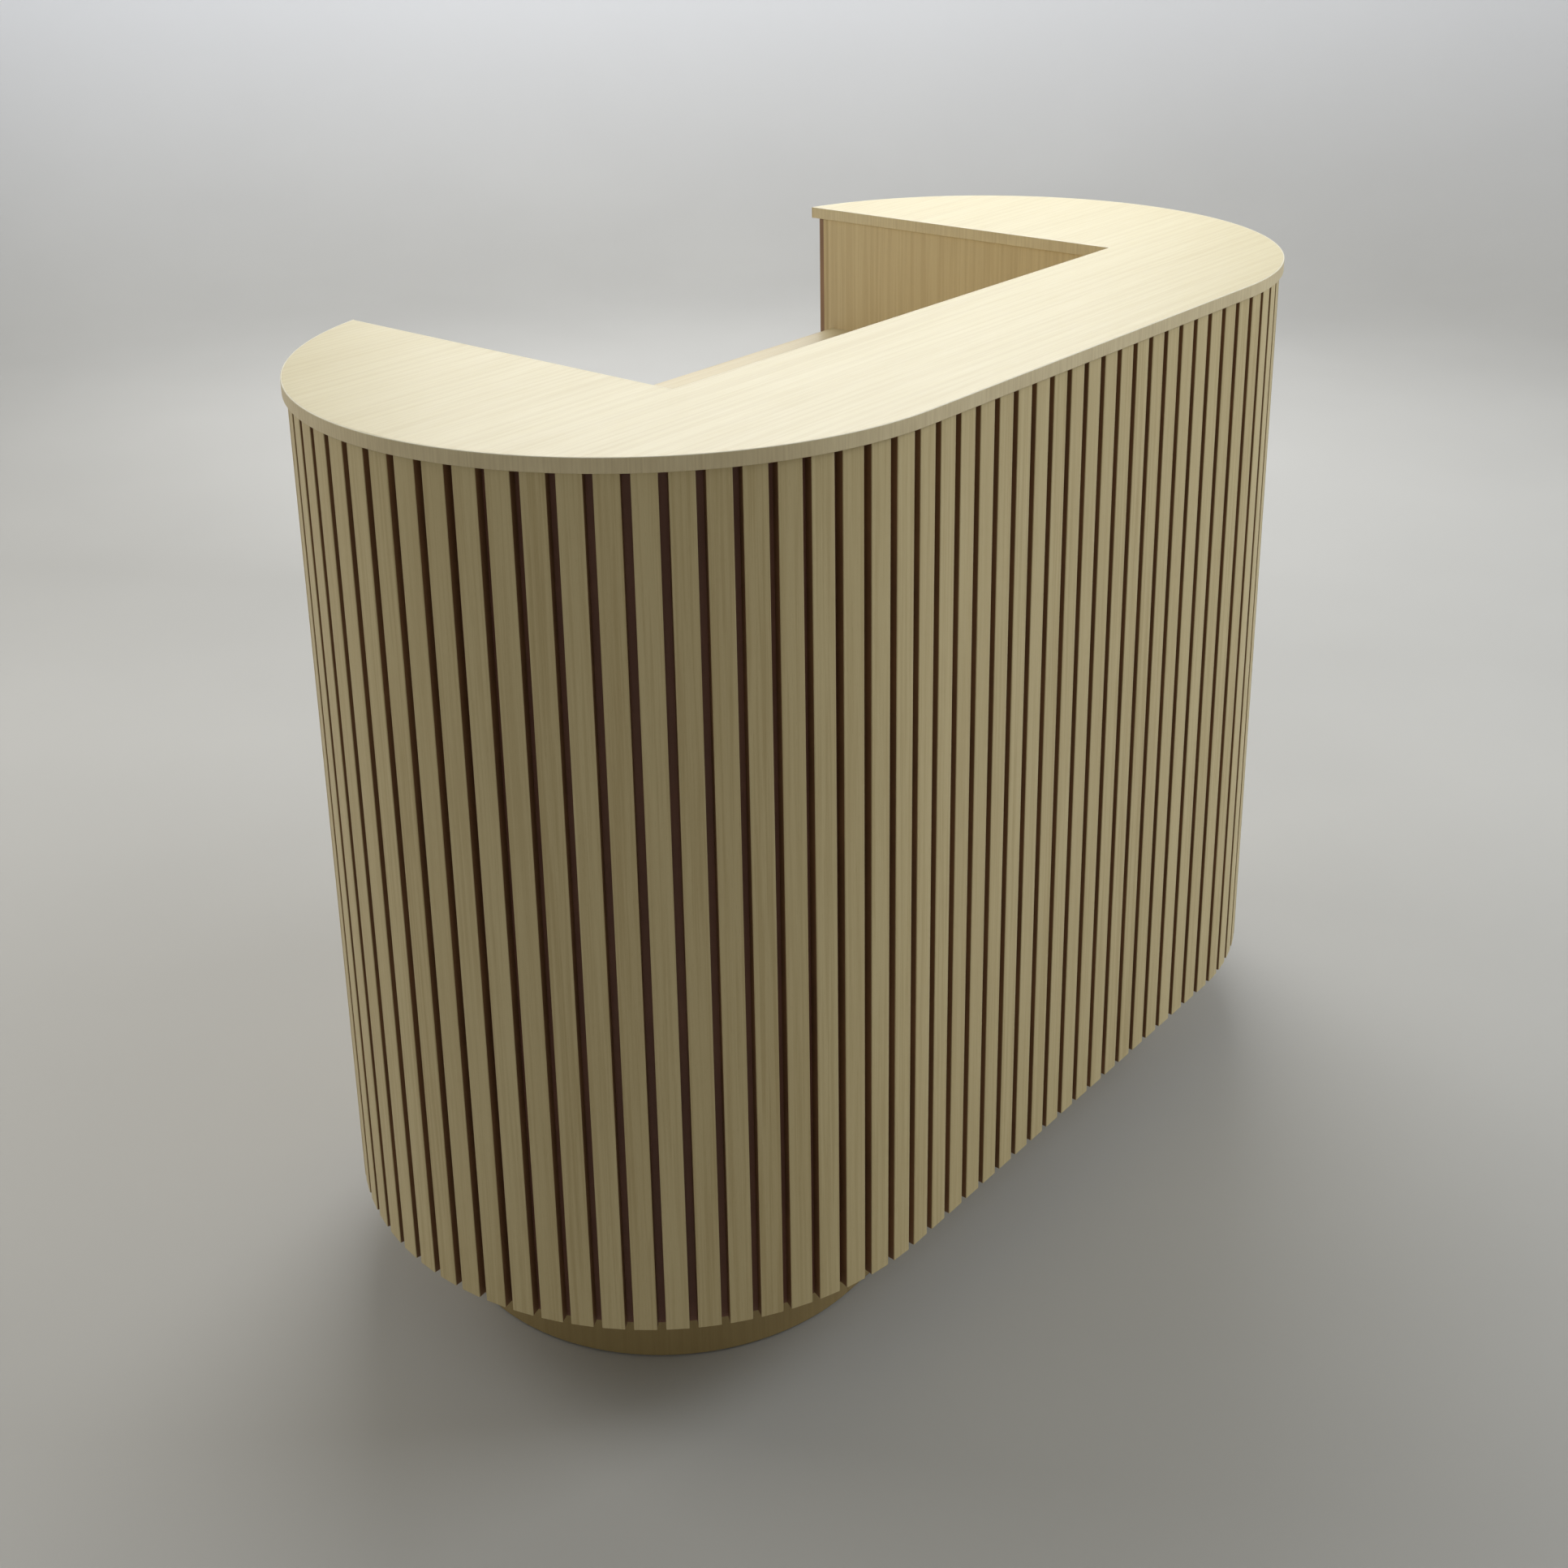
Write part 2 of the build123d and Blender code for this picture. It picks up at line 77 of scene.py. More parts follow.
class Finish:
    """One node material. A method that makes a value adds its nodes and returns their output socket."""

    def __init__(self, name):
        self.material = bpy.data.materials.new(name)
        self.material.use_nodes = True
        self.tree = self.material.node_tree
        self.shader = self.tree.nodes["Principled BSDF"]
        self.place = self.node("ShaderNodeTexCoord").outputs["Object"]

    def node(self, kind, **settings):
        made = self.tree.nodes.new(kind)
        for name, value in settings.items():
            setattr(made, name, value)
        return made

    def put(self, socket, value):
        """Links a socket to another node's output, or sets its plain value."""
        if isinstance(value, bpy.types.NodeSocket):
            self.tree.links.new(value, socket)
        else:
            socket.default_value = value

    def maths(self, operation, first, second, third=None, clamp=False):
        made = self.node("ShaderNodeMath", operation=operation, use_clamp=clamp)
        self.put(made.inputs[0], first)
        self.put(made.inputs[1], second)
        if third is not None:
            self.put(made.inputs[2], third)
        return made.outputs[0]

    def vector(self, operation, first, second):
        made = self.node("ShaderNodeVectorMath", operation=operation)
        self.put(made.inputs[0], first)
        self.put(made.inputs[1], second)
        return made.outputs[0]

    def noise(self, place, scale, detail=2.0, roughness=0.5, distortion=0.0):
        made = self.node("ShaderNodeTexNoise")
        self.put(made.inputs["Vector"], place)
        made.inputs["Scale"].default_value = scale
        made.inputs["Detail"].default_value = detail
        made.inputs["Roughness"].default_value = roughness
        made.inputs["Distortion"].default_value = distortion
        return made.outputs["Fac"]

    def spread(self, value, low, high, to_low=0.0, to_high=1.0):
        """Maps low..high to to_low..to_high, held at both ends."""
        made = self.node("ShaderNodeMapRange")
        self.put(made.inputs["Value"], value)
        made.inputs["From Min"].default_value = low
        made.inputs["From Max"].default_value = high
        made.inputs["To Min"].default_value = to_low
        made.inputs["To Max"].default_value = to_high
        return made.outputs["Result"]

    def mix(self, factor, first, second):
        made = self.node("ShaderNodeMix", data_type="RGBA")
        self.put(made.inputs["Factor"], factor)
        colour_inputs = [socket for socket in made.inputs if socket.type == "RGBA"]
        self.put(colour_inputs[0], first)
        self.put(colour_inputs[1], second)
        return next(socket for socket in made.outputs if socket.type == "RGBA")

    def along(self, axis):
        """The place along one axis, in metres."""
        made = self.node("ShaderNodeSeparateXYZ")
        self.put(made.inputs[0], self.place)
        return made.outputs[axis]

    def stretched(self, axis, share):
        """The place with one axis shrunk to a share of itself, so that noise runs long that way."""
        scale = [1.0, 1.0, 1.0]
        scale["XYZ".index(axis)] = share
        return self.vector("MULTIPLY", self.place, scale)

    def attribute(self, name):
        return self.node("ShaderNodeAttribute", attribute_name=name).outputs["Fac"]

    def colour(self, value):
        self.put(self.shader.inputs["Base Color"], value)

    def roughness(self, value):
        self.put(self.shader.inputs["Roughness"], value)

    def bump(self, height, depth):
        made = self.node("ShaderNodeBump")
        made.inputs["Distance"].default_value = depth
        made.inputs["Strength"].default_value = 1.0
        self.put(made.inputs["Height"], height)
        self.put(self.shader.inputs["Normal"], made.outputs["Normal"])


def rgb(red, green, blue):
    """A display colour from 0 to 255 as the linear colour that shaders take."""
    linear = []
    for value in (red, green, blue):
        share = value / 255
        linear.append(share / 12.92 if share <= 0.04045 else ((share + 0.055) / 1.055) ** 2.4)
    return (*linear, 1.0)


# Most noise lies between these two values, so finishes spread this range over their two colours.
soft_noise = (0.3, 0.7)
crisp_noise = (0.35, 0.65)


# How much each kind of grain line darkens the wood, as a share of the way from dark to light
growth_depth = 0.34
band_depth = 0.55
fibre_depth = 0.42
pore_depth = 0.22
wood_lift = 0.15
growth_relief = 0.5

# How slats differ from one another: where each is cut from the grain, its tone and its line strength
board_offset = (3.1, 5.3, 41.0)
board_tones = (0.40, 0.60)
board_line_strengths = (0.45, 1.5)
board_line_noise = 9.0


def wood(name, axis, light, dark, line_spacing, contrast, rough=(0.40, 0.52), grain_depth=0.00006,
         boards=False):
    """Straight-grained pale wood or its laminate print. axis is the way that the grain runs."""
    made = Finish(name)
    place = made.place
    tone = 0.5
    if boards:
        board = made.attribute("board")
        offset = made.vector("MULTIPLY", board, board_offset)
        place = made.vector("ADD", place, offset)
        tone = made.spread(board, 0.0, 1.0, *board_tones)
        line_strength = made.spread(made.noise(offset, board_line_noise), *crisp_noise, *board_line_strengths)

    def streaks(spacing, run, detail, distortion=0.0):
        """Noise about spacing wide across the grain and run times as long along it."""
        scale = [1.0, 1.0, 1.0]
        scale["XYZ".index(axis)] = 1.0 / run
        return made.noise(made.vector("MULTIPLY", place, scale), 1.0 / spacing, detail, 0.55, distortion)

    bands = streaks(spacing=0.045, run=14.0, detail=2.0)
    lines = streaks(spacing=line_spacing, run=70.0, detail=3.0, distortion=0.25)
    fibres = streaks(spacing=0.0012, run=45.0, detail=2.0)
    pores = made.spread(streaks(spacing=0.0007, run=16.0, detail=1.0), low=0.62, high=0.74)

    growth = made.spread(lines, low=0.44, high=0.60)
    if boards:
        growth = made.maths("MULTIPLY", growth, line_strength)
    shade = made.maths("MULTIPLY_ADD", growth, -growth_depth * contrast, tone)
    for value, depth in ((bands, band_depth), (fibres, fibre_depth)):
        centred = made.maths("SUBTRACT", value, 0.5)
        shade = made.maths("MULTIPLY_ADD", centred, depth * contrast, shade)
    lifted = made.maths("ADD", shade, wood_lift)
    shade = made.maths("MULTIPLY_ADD", pores, -pore_depth * contrast, lifted, clamp=True)
    made.colour(made.mix(shade, rgb(*dark), rgb(*light)))
    smooth, dull = rough
    made.roughness(made.spread(fibres, *crisp_noise, dull, smooth))
    ridges = made.maths("MULTIPLY_ADD", growth, -growth_relief, fibres)
    made.bump(made.maths("SUBTRACT", ridges, pores), grain_depth)
    return made.material


def eggshell(made, light, dark, rough, grain):
    """Gives paint's fine surface to a finish and returns its faintly mottled colour."""
    cloud = made.noise(made.place, scale=9.0, detail=3.0, roughness=0.6)
    speck = made.noise(made.place, 1.0 / grain)
    made.roughness(made.spread(speck, *soft_noise, *rough))
    made.bump(speck, depth=0.00003)
    return made.mix(made.spread(cloud, *soft_noise), rgb(*dark), rgb(*light))


def painted(name, light, dark, rough, grain):
    made = Finish(name)
    made.colour(eggshell(made, light, dark, rough, grain))
    return made.material


def edge_strip(name, light, dark, rim_highlight):
    """The glued edge strip: a plain fine grain, and a painted highlight, its rounded top corner coloured
    lighter in place of the glint of light along the rim.
    """
    made = Finish(name)
    fibres = made.noise(made.stretched("Z", 0.06), scale=420.0, detail=3.0)
    bands = made.noise(made.place, scale=14.0)
    shade = made.maths("ADD", made.maths("MULTIPLY", fibres, 0.6), made.maths("MULTIPLY", bands, 0.4))
    face = made.mix(made.spread(shade, *crisp_noise), rgb(*dark), rgb(*light))
    # Painted highlight: the colour turns lighter over the top 0.9 mm of the strip, standing in for light
    # caught by its rounded rim.
    corner = made.spread(made.along("Z"), low=top_high - 0.0009, high=top_high - 0.0003)
    made.colour(made.mix(corner, face, rgb(*rim_highlight)))
    made.roughness(made.spread(fibres, *crisp_noise, 0.5, 0.38))
    made.bump(fibres, depth=0.00003)
    return made.material


def backing_paint(name, light, dark, edging_light, edging_dark):
    """The dark paint behind the slats, with wood edging on the ends that face the well."""
    made = Finish(name)
    paint = eggshell(made, light, dark, rough=(0.45, 0.6), grain=0.000625)
    past_panel = 0.0004
    sideways = made.maths("ABSOLUTE", made.along("X"), 0.0)
    staff_side = made.maths("GREATER_THAN", made.along("Y"), 0.0)
    edging = made.maths("MULTIPLY", made.maths("LESS_THAN", sideways, well_half + past_panel), staff_side)
    streak = made.noise(made.stretched("Z", 0.02), scale=300.0, detail=3.0)
    veneer = made.mix(made.spread(streak, *crisp_noise), rgb(*edging_light), rgb(*edging_dark))
    made.colour(made.mix(edging, paint, veneer))
    return made.material


def plywood(name, light, dark):
    """Raw birch plywood: a plain face grain that runs upwards."""
    made = Finish(name)
    face = made.noise(made.stretched("Z", 0.04), scale=210.0, detail=4.0, roughness=0.6, distortion=0.4)
    cloud = made.noise(made.place, scale=11.0, detail=3.0)
    shade = made.maths("ADD", made.maths("MULTIPLY", face, 0.75), made.maths("MULTIPLY", cloud, 0.3))
    made.colour(made.mix(made.spread(shade, low=0.3, high=0.75), rgb(*dark), rgb(*light)))
    made.roughness(made.spread(face, *soft_noise, 0.72, 0.58))
    made.bump(face, depth=0.00012)
    return made.material


def metal(name, axis, light, dark, rough, streak):
    """Metal with fine drawn or brushed lines along one axis and slight staining."""
    made = Finish(name)
    made.shader.inputs["Metallic"].default_value = 1.0
    lines = made.noise(made.stretched(axis, 0.02), 1.0 / streak, detail=3.0, roughness=0.6)
    cloud = made.noise(made.place, scale=60.0, detail=3.0, roughness=0.6)
    made.colour(made.mix(made.spread(cloud, *soft_noise), rgb(*dark), rgb(*light)))
    made.roughness(made.spread(lines, *soft_noise, *rough))
    made.bump(lines, depth=0.00001)
    return made.material


def moulded(name, light, dark, rough, grain, depth):
    """Moulded plastic or rubber with a fine spark-eroded texture."""
    made = Finish(name)
    texture = made.noise(made.place, 1.0 / grain, detail=3.0, roughness=0.6)
    cloud = made.noise(made.place, scale=25.0)
    made.colour(made.mix(made.spread(cloud, *soft_noise), rgb(*dark), rgb(*light)))
    made.roughness(made.spread(texture, *soft_noise, *rough))
    made.bump(texture, depth)
    return made.material


finishes = {
    "top_laminate": wood("maple_top", "X", light=(235, 226, 188), dark=(213, 199, 154), line_spacing=0.0075,
                         contrast=0.8, rough=(0.36, 0.46), grain_depth=0.00003),
    "worktop_laminate": wood("maple_worktop", "X", light=(228, 218, 184), dark=(206, 190, 150),
                             line_spacing=0.0085, contrast=0.7, rough=(0.36, 0.46), grain_depth=0.00003),
    # The edge strip's lightest colour is a painted highlight on its rounded top corner.
    "edge_band": edge_strip("maple_edge", light=(222, 207, 168), dark=(206, 189, 150), rim_highlight=(250, 244, 222)),
    "slat_wood": wood("slat_face", "Z", light=(214, 198, 152), dark=(186, 166, 118), line_spacing=0.0040,
                      contrast=0.8, rough=(0.42, 0.56), grain_depth=0.00007, boards=True),
    "panel_wood": wood("panel_maple", "Z", light=(220, 202, 158), dark=(194, 172, 128), line_spacing=0.0055,
                       contrast=0.9),
    "plinth_wood": wood("plinth_maple", "Z", light=(166, 145, 97), dark=(147, 125, 79), line_spacing=0.0060,
                        contrast=0.7),
    "carcass_board": wood("carcass_melamine", "X", light=(214, 200, 162), dark=(190, 174, 134),
                          line_spacing=0.0085, contrast=0.6, rough=(0.42, 0.52), grain_depth=0.00002),
    "drawer_board": wood("drawer_melamine", "X", light=(222, 212, 184), dark=(202, 190, 160),
                         line_spacing=0.0085, contrast=0.6, rough=(0.42, 0.52), grain_depth=0.00002),
    "dark_backing": backing_paint("dark_backing_paint", light=(132, 90, 69), dark=(118, 79, 60),
                                  edging_light=(206, 186, 142), edging_dark=(186, 164, 120)),
    "frame_board": plywood("birch_plywood", light=(206, 176, 130), dark=(150, 118, 78)),
    "black_rubber": moulded("black_rubber", light=(34, 34, 35), dark=(24, 24, 25), rough=(0.62, 0.8),
                            grain=0.0008, depth=0.00006),
    "black_plastic": moulded("black_plastic", light=(40, 40, 41), dark=(30, 30, 31), rough=(0.38, 0.55),
                             grain=0.0005, depth=0.00004),
    "zinc_steel": metal("zinc_plate", "Z", light=(198, 200, 204), dark=(166, 170, 176), rough=(0.3, 0.45),
                        streak=0.0006),
    "brushed_pull": metal("brushed_steel", "X", light=(202, 202, 200), dark=(184, 184, 182),
                          rough=(0.24, 0.42), streak=0.0003),
    "chrome_lock": metal("satin_chrome", "Y", light=(214, 215, 218), dark=(196, 198, 202),
                         rough=(0.12, 0.24), streak=0.0004),
}
slat_side_paint = painted("slat_side_paint", light=(140, 104, 70), dark=(122, 90, 60), rough=(0.5, 0.65),
                          grain=0.0006)


# ---- Finishes and softened edges on the pieces from the CAD --------------

eased_edges = {
    "worktop_laminate": 0.0003, "edge_band": 0.0004, "panel_wood": 0.0006, "plinth_wood": 0.0008,
    "carcass_board": 0.0006, "drawer_board": 0.0008, "black_rubber": 0.0006, "black_plastic": 0.0005,
    "zinc_steel": 0.0002, "brushed_pull": 0.0003, "chrome_lock": 0.0003,
}
weld_distance = 0.00001
flat_angle = math.radians(0.1)
ease_steps = 3
flat_face_weight = 100
sharp_angle = math.radians(50)


def ease_edges(piece, width):
    """Rounds the real edges of a piece from the CAD a little, with modifiers only."""
    weld = piece.modifiers.new("joined_faces", "WELD")
    weld.merge_threshold = weld_distance
    flat = piece.modifiers.new("one_face_per_side", "DECIMATE")
    flat.decimate_type = "DISSOLVE"
    flat.angle_limit = flat_angle
    bevel = piece.modifiers.new("eased_edges", "BEVEL")
    bevel.width = width
    bevel.segments = ease_steps
    bevel.limit_method = "ANGLE"
    bevel.angle_limit = sharp_angle
    weighted = piece.modifiers.new("flat_faces", "WEIGHTED_NORMAL")
    weighted.weight = flat_face_weight
    weighted.keep_sharp = True


for node in nodes.values():
    part_slot = node.material_slots[0]
    slot_name = part_slot.material.name
    part_slot.material = finishes[slot_name]
    if slot_name in eased_edges:
        ease_edges(node, eased_edges[slot_name])


# ---- Mesh helpers --------------------------------------------------------

def new_piece(name, shape, materials, slot, *replaced):
    """Makes a shown piece from a bmesh, with smooth faces that break at real edges."""
    bmesh.ops.recalc_face_normals(shape, faces=shape.faces)
    for face in shape.faces:
        face.smooth = True
    for edge in shape.edges:
        edge.smooth = len(edge.link_faces) == 2 and edge.calc_face_angle(0.0) < sharp_angle
    mesh = bpy.data.meshes.new(name)
    shape.to_mesh(mesh)
    shape.free()
    for material in materials:
        mesh.materials.append(material)
    piece = bpy.data.objects.new(name, mesh)
    bpy.context.scene.collection.objects.link(piece)
    weighted = piece.modifiers.new("flat_faces", "WEIGHTED_NORMAL")
    weighted.keep_sharp = True
    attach(piece, "carcass")
    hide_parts(*replaced)


def skin(shape, rings):
    """Joins rings of vertices into a tube and returns its faces, ring by ring."""
    count = len(rings[0])
    faces = []
    for low, high in zip(rings, rings[1:]):
        for corner in range(count):
            following = (corner + 1) % count
            faces.append(shape.faces.new((low[corner], low[following], high[following], high[corner])))
    return faces


def quarter_round(radius, steps):
    """A rounded corner as (in from one side, in from the other), from that first side to the other."""
    points = []
    for step in range(steps + 1):
        angle = math.radians(90 * step / steps)
        points.append((radius * (1 - math.cos(angle)), radius * (1 - math.sin(angle))))
    return points


def arc(centre, radius, start, end, steps):
    """Points on an arc from one angle to another, in radians from +X."""
    points = []
    for step in range(steps + 1):
        angle = start + (end - start) * step / steps
        points.append(Vector((centre[0] + radius * math.cos(angle), centre[1] + radius * math.sin(angle))))
    return points


# ---- Counter top ---------------------------------------------------------

front_steps = 6
end_steps = 100
edge_round = 0.0010
round_steps = 4
joint_chamfer = 0.0002


def top_paths(inset):
    """The outer outline of the top, from the left wing tip round the customers' side to the right tip,
    and the well's outline from the right tip back to the left one, both moved inwards by inset."""
    radius = top_radius - inset
    side = lip_half + inset
    tip = math.acos((side - half_run) / radius)
    front = arc((half_run, centre_y), radius, -math.pi / 2, -tip, front_steps)
    right = front[:-1] + arc((half_run, centre_y), radius, -tip, tip, end_steps)
    left = [Vector((-point.x, point.y)) for point in reversed(right)]
    tip_y = right[-1].y
    front_y = lip_y - inset
    well = [Vector((side, tip_y)), Vector((side, front_y)), Vector((-side, front_y)), Vector((-side, tip_y))]
    return left + right, well


def sweep(shape, path, profile):
    """Sweeps a closed profile of (inwards, height) points along an open plan path, mitred at its corners."""
    rings = []
    for number, point in enumerate(path):
        before = path[max(number - 1, 0)]
        after = path[min(number + 1, len(path) - 1)]
        first = (point - before) if number > 0 else (after - point)
        second = (after - point) if number < len(path) - 1 else (point - before)
        first.normalize()
        second.normalize()
        left_first = Vector((-first.y, first.x))
        left_second = Vector((-second.y, second.x))
        across = left_first + left_second
        across *= 2 / across.length_squared
        rings.append([shape.verts.new((point.x + across.x * inwards, point.y + across.y * inwards, height))
                      for inwards, height in profile])
    skin(shape, rings)
    shape.faces.new(rings[0])
    shape.faces.new(list(reversed(rings[-1])))


def band_profile(thickness):
    """The edge strip's section: round outer corners, and a hairline chamfer where it meets the laminate."""
    rounding = quarter_round(edge_round, round_steps)
    upper = [(inwards, top_high - drop) for inwards, drop in rounding]
    lower = [(inwards, top_low + rise) for rise, inwards in rounding]
    chamfer = [(thickness - joint_chamfer, top_high), (thickness, top_high - joint_chamfer)]
    return [*upper, *chamfer, (thickness, top_low), *lower]


def top_sheet(shape, inset, height):
    """Vertices of one flat level of the top: its outline, and the two corners of the well."""
    outline, well = top_paths(inset)
    return [shape.verts.new((point.x, point.y, height)) for point in outline + well[1:3]]


def fill_sheet(shape, corners):
    """Fills a level with strips across each wing and one board along the ledge."""
    total = len(corners) - 2
    wing = end_steps // 2
    for start, step, well_corner in ((0, 1, total + 1), (total - 1, -1, total)):
        for count in range(wing):
            near, far = start + step * count, start + step * (end_steps - count)
            strip = [near, near + step, far - step, far]
            if near + step == far - step:
                strip.remove(far - step)
            if count == 0:
                strip.append(well_corner)
            shape.faces.new([corners[number] for number in strip])
    shape.faces.new([corners[number] for number in range(end_steps, total - end_steps)] + corners[total:])


def counter_top():
    """The laminated board, with a hairline chamfer where its edge strips meet it."""
    shape = bmesh.new()
    levels = ((0.0, top_low), (0.0, top_high - joint_chamfer), (joint_chamfer, top_high))
    rings = [top_sheet(shape, band_thickness + inset, height) for inset, height in levels]
    skin(shape, rings)
    fill_sheet(shape, rings[0])
    fill_sheet(shape, rings[-1])
    new_piece("counter_top_board", shape, [finishes["top_laminate"]], "top_laminate", "counter_top")


def edge_strips():
    """The strip round the outside, and the one round the well, whose ends stop at the board's outline."""
    outline, well = top_paths(0.0)
    shape = bmesh.new()
    sweep(shape, outline, band_profile(band_thickness))
    new_piece("counter_edge_outer", shape, [finishes["edge_band"]], "edge_band", "top_outer_band")
    shape = bmesh.new()
    tip = math.sqrt((top_radius - band_thickness) ** 2 - (lip_half - half_run) ** 2) + centre_y
    well[0].y = tip
    well[-1].y = tip
    sweep(shape, well, band_profile(band_thickness))
    new_piece("counter_edge_inner", shape, [finishes["edge_band"]], "edge_band", "top_inner_band")


# ---- Slats ---------------------------------------------------------------

corner_round = 0.0009
corner_steps = 3
end_round = 0.0005
board_seed = 7


def slat_profile(inset):
    """Points of a slat's section as (across, outwards), from its back left corner to its back right one."""
    half = slat_width / 2 - inset
    depth = slat_depth - inset
    rounding = quarter_round(corner_round, corner_steps)
    left = [(-half + sideways, depth - back) for sideways, back in rounding]
    right = [(half - sideways, depth - back) for back, sideways in rounding]
    return [(-half, 0.0), *left, *right, (half, 0.0)]


def slat_place(run):
    """The middle of a slat's back face and its outward direction, from its distance along the face."""
    side = math.copysign(1, run)
    past_straight = abs(run) - half_run
    if past_straight <= 0:
        return Vector((run, centre_y - backing_radius)), Vector((0.0, -1.0))
    turn = side * past_straight / face_radius
    outwards = Vector((math.sin(turn), -math.cos(turn)))
    return Vector((side * half_run, centre_y)) + outwards * backing_radius, outwards


def add_slat(shape, run, board):
    """One slat: its faced front and rounded corners, and dark sides."""
    low, high = slats_low.z, slats_high.z
    origin, outwards = slat_place(run)
    across = Vector((-outwards.y, outwards.x))
    rings = []
    for height, inset in ((low, end_round), (low + end_round, 0.0), (high, 0.0)):
        ring = []
        for sideways, out in slat_profile(inset):
            point = origin + across * sideways + outwards * out
            ring.append(shape.verts.new((point.x, point.y, height)))
        rings.append(ring)
    count = len(rings[0])
    dark_sides = (0, count - 2, count - 1)
    faces = skin(shape, rings)
    for number, face in enumerate(faces):
        face.material_index = 1 if number % count in dark_sides else 0
    faces.append(shape.faces.new(list(reversed(rings[0]))))
    faces.append(shape.faces.new(rings[-1]))
    layer = shape.faces.layers.float["board"]
    for face in faces:
        face[layer] = board


def slats():
    """Slats at an even pitch along the whole face, in the same three groups as in the CAD."""
    tip_turn = math.pi - math.asin((well_half - half_run) / face_radius)
    per_side = int((half_run + face_radius * tip_turn + slat_gap / 2) / slat_pitch)
    groups = {"left_end": bmesh.new(), "front": bmesh.new(), "right_end": bmesh.new()}
    for shape in groups.values():
        shape.faces.layers.float.new("board")
    chance = random.Random(board_seed)
    for number in range(-per_side, per_side):
        run = (number + 0.5) * slat_pitch
        group = "front" if abs(run) <= half_run else ("left_end" if run < 0 else "right_end")
        add_slat(groups[group], run, chance.random())
    for group, shape in groups.items():
        new_piece(f"{group}_slat_faces", shape, [finishes["slat_wood"], slat_side_paint], "slat_wood",
                  f"{group}_slats")


counter_top()
edge_strips()
slats()


# ---- Camera, floor and lights --------------------------------------------

camera_place = Vector((-1.892, -1.481, 1.674))
camera_yaw = -0.87883
camera_pitch = 0.34438
camera_roll = -0.01552
camera_lens = 46.44
camera_sensor = 36.0
camera_shift = -0.160

room_radius = 7.0
room_curve = 2.2
room_height = 3.2
floor_rings = (1.5, 3.0)
curve_steps = 16
room_sides = 96
wall_fade = 1.4


def add_camera():
    data = bpy.data.cameras.new("view")
    data.lens = camera_lens
    data.sensor_width = camera_sensor
    data.shift_y = camera_shift
    camera = bpy.data.objects.new("view", data)
    bpy.context.scene.collection.objects.link(camera)
    ahead = Vector((-math.sin(camera_yaw) * math.cos(camera_pitch),
                    math.cos(camera_yaw) * math.cos(camera_pitch), -math.sin(camera_pitch)))
    level_right = Vector((math.cos(camera_yaw), math.sin(camera_yaw), 0.0))
    level_up = level_right.cross(ahead)
    right = math.cos(camera_roll) * level_right + math.sin(camera_roll) * level_up
    up = math.cos(camera_roll) * level_up - math.sin(camera_roll) * level_right
    turn = Matrix((right, up, -ahead)).transposed()
    camera.matrix_world = Matrix.Translation(camera_place) @ turn.to_4x4()
    bpy.context.scene.camera = camera
    bpy.context.scene.view_settings.view_transform = "Standard"


def studio_paint():
    """Grey on the floor, fading to a lighter grey on the wall."""
    made = Finish("studio_grey")
    cloud = made.noise(made.place, scale=0.9, detail=3.0)
    ground = made.mix(made.spread(cloud, *soft_noise), rgb(181, 181, 179), rgb(187, 187, 185))
    wall_share = made.spread(made.along("Z"), low=0.0, high=wall_fade)
    made.colour(made.mix(wall_share, ground, rgb(232, 235, 242)))
    made.roughness(0.7)
    return made.material


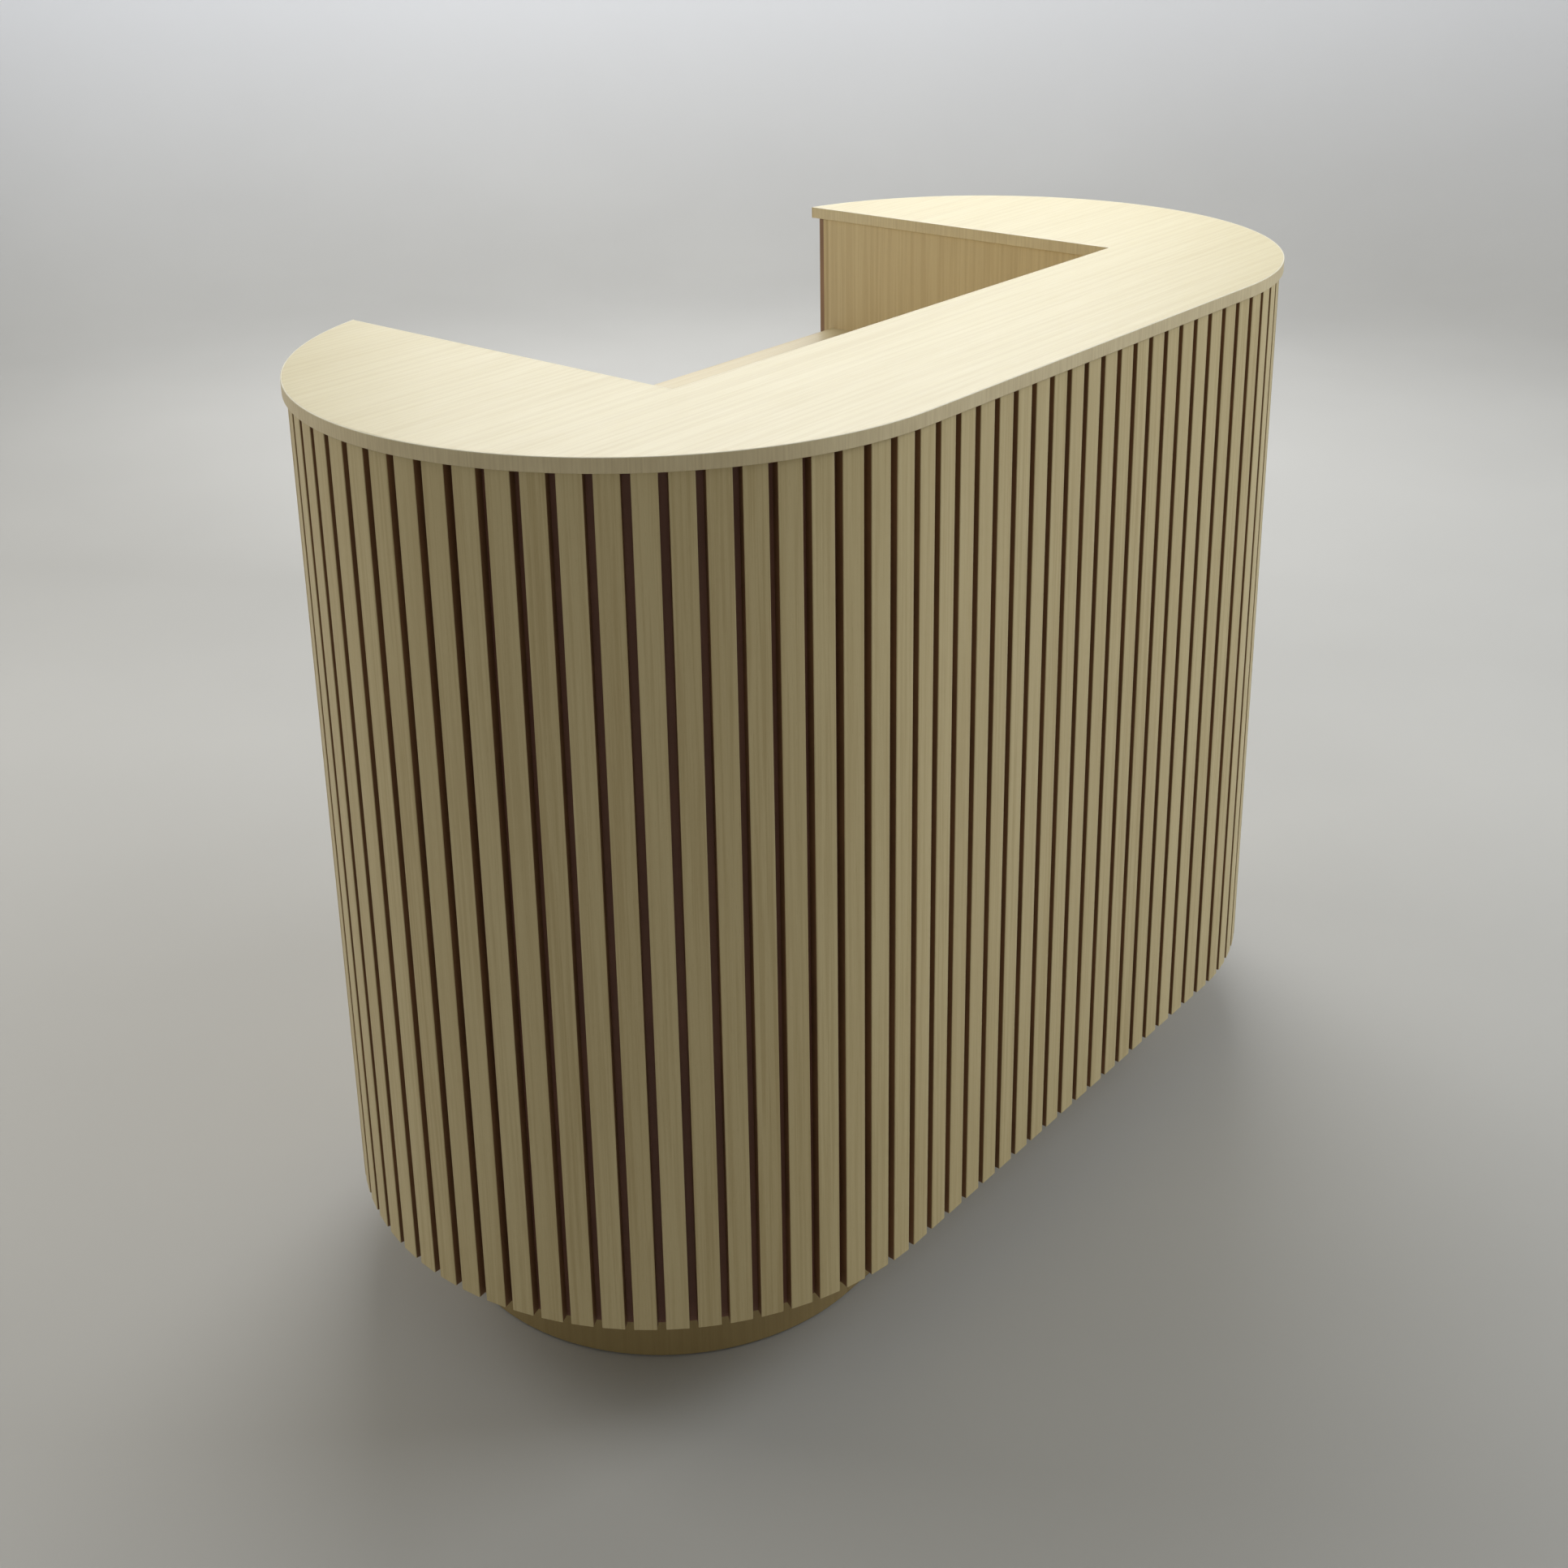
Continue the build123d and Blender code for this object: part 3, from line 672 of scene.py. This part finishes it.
def add_room():
    """A round pale studio floor that curves up into a low wall, all one surface."""
    flat_radius = room_radius - room_curve
    section = [(radius, 0.0) for radius in (*floor_rings, flat_radius)]
    for step in range(1, curve_steps + 1):
        angle = math.radians(90 * step / curve_steps)
        section.append((flat_radius + room_curve * math.sin(angle), room_curve * (1 - math.cos(angle))))
    section.append((room_radius, room_height))
    shape = bmesh.new()
    middle = shape.verts.new((0.0, 0.0, 0.0))
    rings = []
    for radius, height in section:
        turns = [math.tau * step / room_sides for step in range(room_sides)]
        rings.append([shape.verts.new((radius * math.cos(turn), radius * math.sin(turn), height))
                      for turn in turns])
    for step in range(room_sides):
        following = (step + 1) % room_sides
        shape.faces.new((middle, rings[0][step], rings[0][following]))
        for inner, outer in zip(rings, rings[1:]):
            shape.faces.new((inner[step], outer[step], outer[following], inner[following]))
    for face in shape.faces:
        face.smooth = True
    mesh = bpy.data.meshes.new("studio_floor")
    shape.to_mesh(mesh)
    shape.free()
    mesh.materials.append(studio_paint())
    floor = bpy.data.objects.new("studio_floor", mesh)
    bpy.context.scene.collection.objects.link(floor)


def add_light(name, place, target, size, power, tint=(1.0, 1.0, 1.0)):
    data = bpy.data.lights.new(name, "AREA")
    data.shape = "RECTANGLE"
    data.size, data.size_y = size
    data.energy = power
    data.color = tint
    light = bpy.data.objects.new(name, data)
    bpy.context.scene.collection.objects.link(light)
    light.location = place
    light.rotation_mode = "QUATERNION"
    light.rotation_quaternion = (Vector(target) - Vector(place)).to_track_quat("-Z", "Y")
    light.visible_camera = False


def add_world(colour, strength):
    world = bpy.data.worlds.new("soft_daylight")
    bpy.context.scene.world = world
    world.use_nodes = True
    sky = world.node_tree.nodes["Background"]
    sky.inputs["Color"].default_value = (*colour, 1.0)
    sky.inputs["Strength"].default_value = strength


add_camera()
add_room()
add_world(colour=(1.0, 0.95, 0.82), strength=0.31)
add_light("ceiling_panel", place=(1.9, 1.6, 3.1), target=(0.1, 0.0, 0.6), size=(2.4, 2.4), power=76)
add_light("right_softbox", place=(3.2, -2.9, 2.8), target=(0.3, -0.3, 0.8), size=(2.4, 2.0), power=92,
          tint=(0.92, 0.96, 1.0))
add_light("left_rear_fill", place=(-1.5, 3.3, 2.0), target=(0.3, 0.2, 0.9), size=(2.0, 1.6), power=42,
          tint=(1.0, 0.97, 0.92))
add_light("backdrop_light", place=(1.6, 2.2, 2.9), target=(6.0, 4.5, 1.6), size=(3.0, 1.2), power=120)
